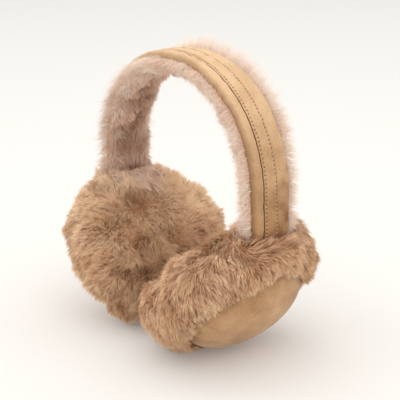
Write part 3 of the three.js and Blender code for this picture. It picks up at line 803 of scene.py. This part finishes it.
CREASES = (  # hollows of the inner face in the pad's own frame: both ends, width, depth, painted shade
    ((-0.024, 0.036), (-0.010, 0.024), 0.0055, 0.0022, 0.30),
    ((-0.010, 0.024), (0.006, 0.018), 0.0050, 0.0018, 0.25),
    ((-0.034, -0.019), (-0.022, -0.021), 0.0035, 0.0020, 0.35),
    ((-0.022, -0.021), (-0.006, -0.020), 0.0045, 0.0022, 0.45),
    ((-0.040, -0.030), (-0.010, -0.036), 0.0080, 0.0008, 0.30),
)
PAINTED_LIGHT_FROM = 0.018  # painted light: the inner face is painted paler from this distance from its middle
PAINTED_LIGHT_OVER = 0.016  # over this distance
PAINTED_LIGHT_TONES = {1: 0.15, -1: 0.95}  # how much painted light makes the upper inner face paler on the right and the left pad
DISC_GAPS = (0.0005, 0.0010, 0.0016)  # how far the hairs' roots, bends and tips keep from the disc
LIP_TRIM = 0.0032  # how much shorter the hairs are beside the disc
TRIM_FROM = 0.80  # share of the section from which they shorten
HANG = 0.7  # how much the hairs' own weight turns them down the pad

# Shares of the rim's radius and of the inner depth, from the middle of the inner face to the rim, and of the
# fur ring's width and of the outer depth, from the rim to the lip.
INNER_SECTION = np.array(((0, 0.84), (0.34, 0.92), (0.63, 1), (0.84, 0.88), (0.96, 0.62), (1, 0.25)))
OUTER_SECTION = np.array(((0.92, 0.43), (0.61, 0.77), (0.28, 0.93), (0, 1)))


def pad_line(fur):
    """The pad's section [radius, height] at a height of fur, smooth and with its points at even distances."""
    rim = DISC_RADIUS + FUR_RING_WIDTH - FUR_RISE + fur
    inner = INNER_SECTION * (rim, -(PAD_INNER_DEPTH - FUR_RISE + fur))
    outer = OUTER_SECTION * (rim - LIP_RADIUS, PAD_OUTER_DEPTH) + (LIP_RADIUS, 0.0)
    return smooth_line(np.vstack((inner, outer)), 160)


pad_section = pad_line(-PAD_SINK)
pad_slope = unit(np.gradient(pad_section, axis=0))
section_shares = np.linspace(0.0, 1.0, len(pad_section))
GRAVITY_ON_PAD = np.array((0.0, math.sin(PAD_TILT), -math.cos(PAD_TILT)))


def on_pad(share, angle, height):
    """A point at a share of the pad's section and an angle round its axis, at a height over the backing,
    with the directions along the section, round the axis and out of the surface there."""
    radius, level = (np.interp(share, section_shares, column) for column in pad_section.T)
    out_slope, up_slope = (np.interp(share, section_shares, column) for column in pad_slope.T)
    sine, cosine = np.sin(angle), np.cos(angle)
    along = np.stack((out_slope * sine, up_slope, out_slope * cosine), -1)
    round_way = np.stack((cosine, 0 * cosine, -sine), -1)
    out = np.cross(round_way, along)
    point = np.stack((radius * sine, level, radius * cosine), -1) + height[..., None] * out
    return point, along, round_way, out


def pad_to_world(points, side):
    """Points of a pad's own frame in the row frame: tilted, for the right pad turned a little about the
    vertical, set on the pad's centre, and for the left pad turned about the middle."""
    tilted = points @ np.array(((0.0, -1.0, 0.0), PAD_OUTWARD, PAD_UPWARD))
    turn = RIGHT_PAD_TURN if side > 0 else 0.0
    turned = tilted @ np.array(
        ((math.cos(turn), math.sin(turn), 0.0), (-math.sin(turn), math.cos(turn), 0.0), (0.0, 0.0, 1.0))
    )
    return (turned + PAD_CENTRE) * (side, side, 1.0)


def depth_in_band(points, margin):
    """How far points lie inside the end of the headband, grown by a margin: the least of their distances to
    its sides, in metres and 0 outside it."""
    away = np.concatenate((np.abs(points[..., :1]), points[..., 1:]), -1) - BAND_END
    across = LINING_HALF + margin - np.abs(away[..., 1] - BAND_SET_BACK)
    depth = -away @ PAD_OUTWARD
    along = away @ PAD_UPWARD + margin
    inside = np.minimum(np.minimum(across, along), np.minimum(depth + margin, 0.0112 + margin - depth))
    return np.maximum(inside, 0.0)


def settle(points):
    """Presses fur flat on the ground and against the other pad."""
    points[..., 2] = np.maximum(points[..., 2], GROUND_GAP)
    points[..., 0] = np.sign(points[..., 0]) * np.maximum(np.abs(points[..., 0]), GROUND_GAP)
    return points


def clear_of_disc(points, gap):
    """Moves points of a pad's own frame out of the disc's dome, away from the middle of its ellipsoid."""
    middle = np.array((0.0, DISC_EDGE_HEIGHT, 0.0))
    size = np.array((DISC_RADIUS + gap, DISC_DOME + gap, DISC_RADIUS + gap))
    from_middle = (points - middle) / size
    reach = np.linalg.norm(from_middle, axis=-1, keepdims=True)
    inside = (reach < 1.0) & (from_middle[..., 1:2] > 0.0)
    return np.where(inside, middle + from_middle / np.maximum(reach, 1e-6) * size, points)


# The root colour is partly the pad fur's own and partly painted shade deep in the pile; the shade colour is
# painted shade in the creases and between tufts.
pad_fur = fur_material(
    "brown pad fur",
    root=(0.34, 0.16, 0.078),
    middle=(0.655, 0.39, 0.225),
    tip=(0.86, 0.62, 0.405),
    pale=(0.96, 0.73, 0.505),
    shade=(0.27, 0.11, 0.048),
)


def creases(points):
    """Depth and painted shade of the creases at points of a pad's own frame: for each, its full value times
    the exponential of minus the square of the distance to its line over its width, on the inner face alone."""
    depth, crease_shade = np.zeros((2, *points.shape[:-1]))
    flat = points[..., (0, 2)]
    for start, end, width, most, darkest in CREASES:
        run = np.subtract(end, start)
        part = held((flat - start) @ run / (run @ run))
        away = np.linalg.norm(flat - start - part[..., None] * run, axis=-1)
        near = bell(away / width) * (points[..., 1] < 0)
        depth += most * near
        crease_shade += darkest * near
    return depth, crease_shade


def lumps(points, side):
    """Low lumps and hollows of the fur, in metres: two sizes of wave noise, less the creases."""
    noise = 0.0009 * waves(points, 0.020, 41 + side) + 0.0004 * waves(points, 0.009, 43 + side)
    return noise - creases(points)[0]


def revolved_faces(rings, count):
    """Quads between rings of count points round an axis, with a point at each pole after the rings."""
    ring = np.arange(rings - 1)[:, None] * count
    here = np.arange(count)[None, :]
    after = (here + 1) % count
    sides = np.stack((ring + here, ring + after, ring + count + after, ring + count + here), -1)
    low = np.stack((np.full(count, rings * count), (here + 1)[0] % count, here[0]), -1)
    last = (rings - 1) * count
    high = np.stack((np.full(count, rings * count + 1), last + here[0], last + after[0]), -1)
    return [sides.reshape(-1, 4), np.vstack((low, high))]


def pad_backing(name, node, side):
    """The undercoat of a pad: its section turned about its axis, lumpy, hollowed for the headband's end, and
    closed below the disc."""
    count = 120
    angle = np.linspace(0.0, 2 * np.pi, count, endpoint=False)[None, :]
    share = np.linspace(0.0, 1.0, 70)[1:, None]
    share, angle = np.broadcast_arrays(share, angle)
    flat, *_ = on_pad(share, angle, np.zeros_like(share))
    points, *_ = on_pad(share, angle, lumps(flat, side))
    world = pad_to_world(points, side)
    dimple = depth_in_band(world, 0.001)
    entry = PAD_UPWARD * (side, 1.0, 1.0)
    world = settle(world - np.minimum(dimple, 0.011)[..., None] * entry)
    under = ((LIP_RADIUS - 0.002, DISC_EDGE_HEIGHT + 0.0005), (LIP_RADIUS - 0.012, DISC_EDGE_HEIGHT))
    tucked = [np.stack((r * np.sin(angle[0]), np.full(count, h), r * np.cos(angle[0])), -1) for r, h in under]
    closing = pad_to_world(np.array(tucked), side)
    rings = np.vstack((world, closing))
    poles = pad_to_world(np.array(((0.0, pad_section[0, 1], 0.0), (0.0, DISC_EDGE_HEIGHT, 0.0))), side)
    points = np.vstack((rings.reshape(-1, 3), poles))
    numbers = undercoat(len(points))
    faces = revolved_faces(len(rings), count)
    piece = mesh_piece(name, points, faces, pad_fur, numbers)
    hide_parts(node)


def pad_hairs(name, side, low, high, seed):
    """The hairs between two shares of a pad's section. They fan out from the middle of the inner face,
    hang, turn in slow swirls, and draw together in tufts. Beside the headband's foot they stand up against
    it, and where the lining spills over the rim a tongue of them is a piece of its own, in the lining's
    fur."""
    random = np.random.default_rng(seed)
    shares = np.linspace(low, high, 400)
    radii = np.interp(shares, section_shares, pad_section[:, 0])
    area = np.concatenate(([0.0], np.cumsum(0.5 * (radii[1:] + radii[:-1]))))
    share = np.interp(random.uniform(0.0, area[-1], PAD_HAIRS), area, shares)
    angle = random.uniform(0.0, 2 * np.pi, PAD_HAIRS)
    flat, along, round_way, out = on_pad(share, angle, np.zeros(PAD_HAIRS))
    roots, *_ = on_pad(share, angle, lumps(flat, side) - 0.0006)
    pull_down = GRAVITY_ON_PAD - (out @ GRAVITY_ON_PAD)[:, None] * out
    turn = sum(most * waves(roots, size, seed + order) for most, size, order in PAD_SWIRLS)
    turn = turn + 0.22 * random.normal(size=PAD_HAIRS)
    turn = (turn * (1 - 0.6 * np.clip(share - 0.6, 0.0, 0.2) / 0.2))[:, None]
    spread = PAD_FAN * held(share / 0.4)[:, None] ** 1.5
    flow = spread * along + HANG * pull_down
    strength = np.minimum(np.linalg.norm(flow, axis=1) / WEAK_FLOW, 1.0)
    comb = unit(flow)
    comb = unit(np.cos(turn) * comb + np.sin(turn) * np.cross(out, comb))
    by_disc = held((share - TRIM_FROM) / (1 - TRIM_FROM))
    length = (PAD_HAIR_LENGTH - LIP_TRIM * by_disc) * random.uniform(0.65, 1.15, PAD_HAIRS)
    rise = PAD_HAIR_RISE * (1 - 0.2 * by_disc) * random.uniform(0.7, 1.2, PAD_HAIRS)
    rise *= 1 + 0.2 * waves(roots, 0.011, seed + 2)
    near_band = depth_in_band(pad_to_world(roots, side), COLLAR_WIDTH)[:, None] / COLLAR_WIDTH
    near_band *= held((roots[:, 1:2] + 0.009) / 0.004)
    front = side * roots[:, 0]
    collar_half = np.where(front > 0, COLLAR_HALF, COLLAR_HALF_BACK)
    near_band *= held((collar_half - np.abs(roots[:, 0])) / 0.006)[:, None]
    ragged = 0.002 * waves(roots, 0.008, seed + 6) + 0.0012 * random.normal(size=PAD_HAIRS)
    in_tongue = (roots[:, 1] < -0.008) & (roots[:, 2] > PAD_TONGUE + PAD_TONGUE_SLANT * front + ragged)
    in_tongue &= (np.abs(roots[:, 0]) < LINING_HALF + ragged) & (share < RIM_SHARE)
    over_rim = unit(-out * out[:, 2:] + (0.0, 0.0, 1.0)) * -1 + 0.25 * np.sin(turn) * round_way
    comb = np.where(in_tongue[:, None], unit(over_rim), comb)
    length = np.where(in_tongue, PAD_TONGUE_LENGTH * random.uniform(0.7, 1.15, PAD_HAIRS), length)
    strength = np.maximum(strength, in_tongue)
    reach = strength * np.sqrt(np.maximum(length**2 - rise**2, 1e-6))
    lying = rise[:, None] * out + reach[:, None] * comb
    stand = COLLAR_STAND + COLLAR_FRONT * held(side * roots[:, :1] / 0.012)
    tips = roots + lying + np.minimum(near_band, 0.8) * ((0.0, 0.0, 1.0) * stand * length[:, None] - lying)
    on_rim = held((share - 0.35) / 0.15)
    pull = TUFT_PULL * (0.4 + 0.6 * on_rim) * random.uniform(0.5, 1.3, PAD_HAIRS)
    tips, own_tone = draw_together(roots, tips, PAD_TUFT, AREA_OF_HALF_PAD, pull, random)
    bends = bent(roots, tips, rise, out)
    paths = zip((roots, bends, tips), DISC_GAPS)
    world = [settle(pad_to_world(clear_of_disc(points, gap), side)) for points, gap in paths]
    kept = depth_in_band(world[0], 0.0) == 0
    # Painted light: the upper inner face is painted paler away from its middle and higher up, where the light
    # falls.
    painted_light = held((np.hypot(roots[:, 0], roots[:, 2]) - PAINTED_LIGHT_FROM) / PAINTED_LIGHT_OVER) * (roots[:, 1] < -0.006)
    painted_light *= held((roots[:, 2] + 0.006) / 0.02)
    tones = 0.08 + PAINTED_LIGHT_TONES[side] * painted_light + 0.15 * waves(roots, 0.024, seed + 3)
    tones = tones + 0.2 * random.normal(size=PAD_HAIRS)
    tones = held(tones + TUFT_TONE * (0.6 + 0.9 * on_rim) * own_tone)
    # painted shade in the creases
    crease_shade = creases(roots)[1] * random.uniform(0.5, 1.2, PAD_HAIRS)
    # Painted shade in patches on the rim, standing for the shade between tufts.
    parting_shade = PARTING_PAINTED_SHADE * held((share - PARTING_SHADE_FROM) / 0.1)
    parting_shade = parting_shade * held(waves(roots, 0.0045, seed + 7))
    shades = held(0.08 * waves(roots, 0.03, seed + 4)) + np.clip(crease_shade + parting_shade, 0.0, 0.8)
    widths = HAIR_HALF_WIDTH * random.uniform(0.7, 1.3, PAD_HAIRS)
    out_in_row = pad_to_world(out, side) - pad_to_world(np.zeros(3), side)
    softness = SOFT_SHADING * (1 - CREST_HARDNESS * bell((share - CREST_AT) / CREST_REACH))
    for values, factor in zip((shades, tones, widths), TONGUE_LOOKS):
        values[in_tongue] *= factor
    parts = [(name, kept & ~in_tongue, pad_fur, "pad_fur")]
    if in_tongue.any():
        parts.append((f"{name}_tongue", kept & in_tongue, lining_fur, "lining_fur"))
    for part_name, chosen, material, slot in parts:
        path = [points[chosen] for points in world]
        numbers = [values[chosen] for values in (out_in_row, softness, tones, shades, widths)]
        hair_mesh(part_name, path, *numbers, material, slot)


for side_name, side, seed in (("right", 1, 51), ("left", -1, 71)):
    pad_backing(f"{side_name}_pad_backing", f"{side_name}_ear_pad_fur", side)
    pad_hairs(f"{side_name}_pad_inner_fur", side, 0.0, RIM_SHARE, seed)
    pad_hairs(f"{side_name}_pad_rim_fur", side, RIM_SHARE, 1.0, seed + 10)


# Suede discs

# The round of suede on the outside of each pad is stretched over stuffing into a smooth dome, and its edge
# goes down into the fur all round, with small puckers where it is gathered.

DISC_WALL = 0.0018
DISC_SIDES = 180
DISC_RINGS = 30
DISC_CROWDING = 1.3  # an exponent: above 1 it brings the rings closer together near the edge
PUCKERS = 0.0002  # height of the small puckers all round
GATHERS = 0.0011  # height of the folds at the disc's lower end
GATHERED_AT = 1.75  # where the folds are, as an angle round the disc in radians
GATHERS_REACH = 0.38  # how far round they reach, in radians
GATHERS_RISE = 0.50  # how far up the dome they run, in radians
PUCKER_REACH = 0.30  # how far up the dome the small puckers run, in radians
PUCKER_SHADE = 0.45  # painted shade: how dark the hollows between folds are painted
DISC_EDGE_SHADE = 0.45  # painted shadow: how dark the line under the fur's edge is painted
DISC_EDGE_REACH = 0.25  # how far up the dome it reaches, in radians


disc_nodes, disc_colour, disc_height = suede_material("disc suede", DISC_SHADE_TO_LIGHT)
disc_suede = disc_nodes.finish(Base_Color=disc_colour, Normal=disc_height)


def disc(name, node, side):
    """A domed shell: radius R cos a and height edge + D sin a outside, and the same a wall's thickness
    inside. The radius takes small puckers all round the edge and larger folds where the disc is
    gathered."""
    count = DISC_SIDES
    angle = np.linspace(0.0, 2 * np.pi, count, endpoint=False)[None, :]
    rise = np.linspace(0.0, 1.0, DISC_RINGS)[:-1, None] ** DISC_CROWDING * np.pi / 2
    around = np.broadcast_to(angle, (len(rise), count))
    ring = np.stack((np.sin(around), np.cos(around)), -1) * 0.012
    gathered = GATHERS * np.exp(-(((angle - GATHERED_AT) / GATHERS_REACH) ** 2 + (rise / GATHERS_RISE) ** 2))
    pucker = PUCKERS * np.exp(-rise / PUCKER_REACH) * waves(ring, 0.0035, 91 + side)
    pucker = pucker + gathered * waves(ring, 0.0022, 93 + side)
    outside = np.stack(
        (
            (DISC_RADIUS + pucker) * np.cos(rise) * np.sin(angle),
            DISC_EDGE_HEIGHT + DISC_DOME * np.sin(rise) + 0 * angle,
            (DISC_RADIUS + pucker) * np.cos(rise) * np.cos(angle),
        ),
        -1,
    )
    scale = (DISC_RADIUS - DISC_WALL) / DISC_RADIUS
    middle = np.array((0.0, DISC_EDGE_HEIGHT, 0.0))
    inside = (outside - middle) * (scale, (DISC_DOME - DISC_WALL) / DISC_DOME, scale) + middle
    rings = np.concatenate((inside[::-1], outside))
    top = DISC_EDGE_HEIGHT + DISC_DOME
    tops = np.array(((0.0, top - DISC_WALL, 0.0), (0.0, top, 0.0)))
    points = pad_to_world(np.vstack((rings.reshape(-1, 3), tops)), side)
    faces = revolved_faces(len(rings), count)
    # Painted shade in the hollows between folds and a painted shadow along the edge under the fur.
    folds = held(-pucker / GATHERS) * PUCKER_SHADE
    shade = folds + DISC_EDGE_SHADE * bell(rise / DISC_EDGE_REACH)
    mark = np.concatenate((np.zeros(around.size), held(shade).ravel(), (0.0, 0.0)))
    piece = mesh_piece(name, points, faces, disc_suede, {"mark": mark})
    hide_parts(node)


disc("right_suede_disc", "right_ear_pad_disc", 1)
disc("left_suede_disc", "left_ear_pad_disc", -1)


# Studio

# A warm white floor that runs past the view, painted brighter near the pads and made to glow faintly as
# painted light, a broad soft light above and to the left, and a camera at the photograph's angle.

# Painted light: the floor glows faintly, which lifts the shadows on it.
floor_nodes = Nodes(
    "warm white floor",
    Roughness=0.9,
    Specular_IOR_Level=0.1,
    Emission_Color=(1.0, 0.985, 0.96, 1.0),
    Emission_Strength=0.12,
)
floor_place = {0: floor_nodes.place()}
from_floor_middle = floor_nodes.add("ShaderNodeVectorMath", {"operation": "LENGTH"}, floor_place, output=1)
# Painted light: the floor's colour changes with distance from the middle and is brightest near the pads, like
# a pool of light.
painted_light_stops = [(0.05, (0.77, 0.755, 0.735)), (0.5, (0.585, 0.585, 0.58)), (1.0, (0.72, 0.72, 0.71))]
floor_with_painted_light = floor_nodes.finish(Base_Color=floor_nodes.ramp(0.33 * from_floor_middle, painted_light_stops))
floor_mesh = bpy.data.meshes.new("floor")
FLOOR_REACH = 6.0
corners = [(-FLOOR_REACH, -FLOOR_REACH, 0), (FLOOR_REACH, -FLOOR_REACH, 0), (FLOOR_REACH, FLOOR_REACH, 0)]
floor_mesh.from_pydata([*corners, (-FLOOR_REACH, FLOOR_REACH, 0)], [], [(0, 1, 2, 3)])
floor_mesh.materials.append(floor_with_painted_light)
in_scene("floor", floor_mesh)

SKY_STRENGTH = 0.97
KEY_STRENGTH = 0.85
KEY_WIDTH = math.radians(100)  # the key light's angular size, which makes its shadows soft
KEY_TOWARDS = (-0.10, 0.34, -1.0)

world = bpy.data.worlds.new("studio")
world.use_nodes = True
world.node_tree.nodes["Background"].inputs["Color"].default_value = (1.0, 0.99, 0.965, 1.0)
world.node_tree.nodes["Background"].inputs["Strength"].default_value = SKY_STRENGTH
bpy.context.scene.world = world

CAMERA_AZIMUTH = math.radians(54.4)
CAMERA_ELEVATION = math.radians(17.9)
CAMERA_DISTANCE = 0.7053
CAMERA_TARGET = (0.00402, 0.00561, 0.0809)
FOCAL_SHARE = 1199.4 / 400  # focal length over the picture's width
SENSOR_WIDTH = 36.0

look_from = np.array(
    (
        math.sin(CAMERA_AZIMUTH) * math.cos(CAMERA_ELEVATION),
        -math.cos(CAMERA_AZIMUTH) * math.cos(CAMERA_ELEVATION),
        math.sin(CAMERA_ELEVATION),
    )
)
camera_data = bpy.data.cameras.new("camera")
camera_data.sensor_width = SENSOR_WIDTH
camera_data.lens = FOCAL_SHARE * SENSOR_WIDTH
camera = in_scene("camera", camera_data)
camera.location = np.array(CAMERA_TARGET) + CAMERA_DISTANCE * look_from
camera.rotation_euler = (math.pi / 2 - CAMERA_ELEVATION, 0.0, CAMERA_AZIMUTH)
bpy.context.scene.camera = camera

key_data = bpy.data.lights.new("key", "SUN")
key_data.energy = KEY_STRENGTH
key_data.angle = KEY_WIDTH
key_data.color = (1.0, 0.975, 0.94)
key = in_scene("key", key_data)
key.rotation_euler = Vector(KEY_TOWARDS).to_track_quat("-Z", "Y").to_euler()

bpy.context.scene.view_settings.view_transform = "Standard"
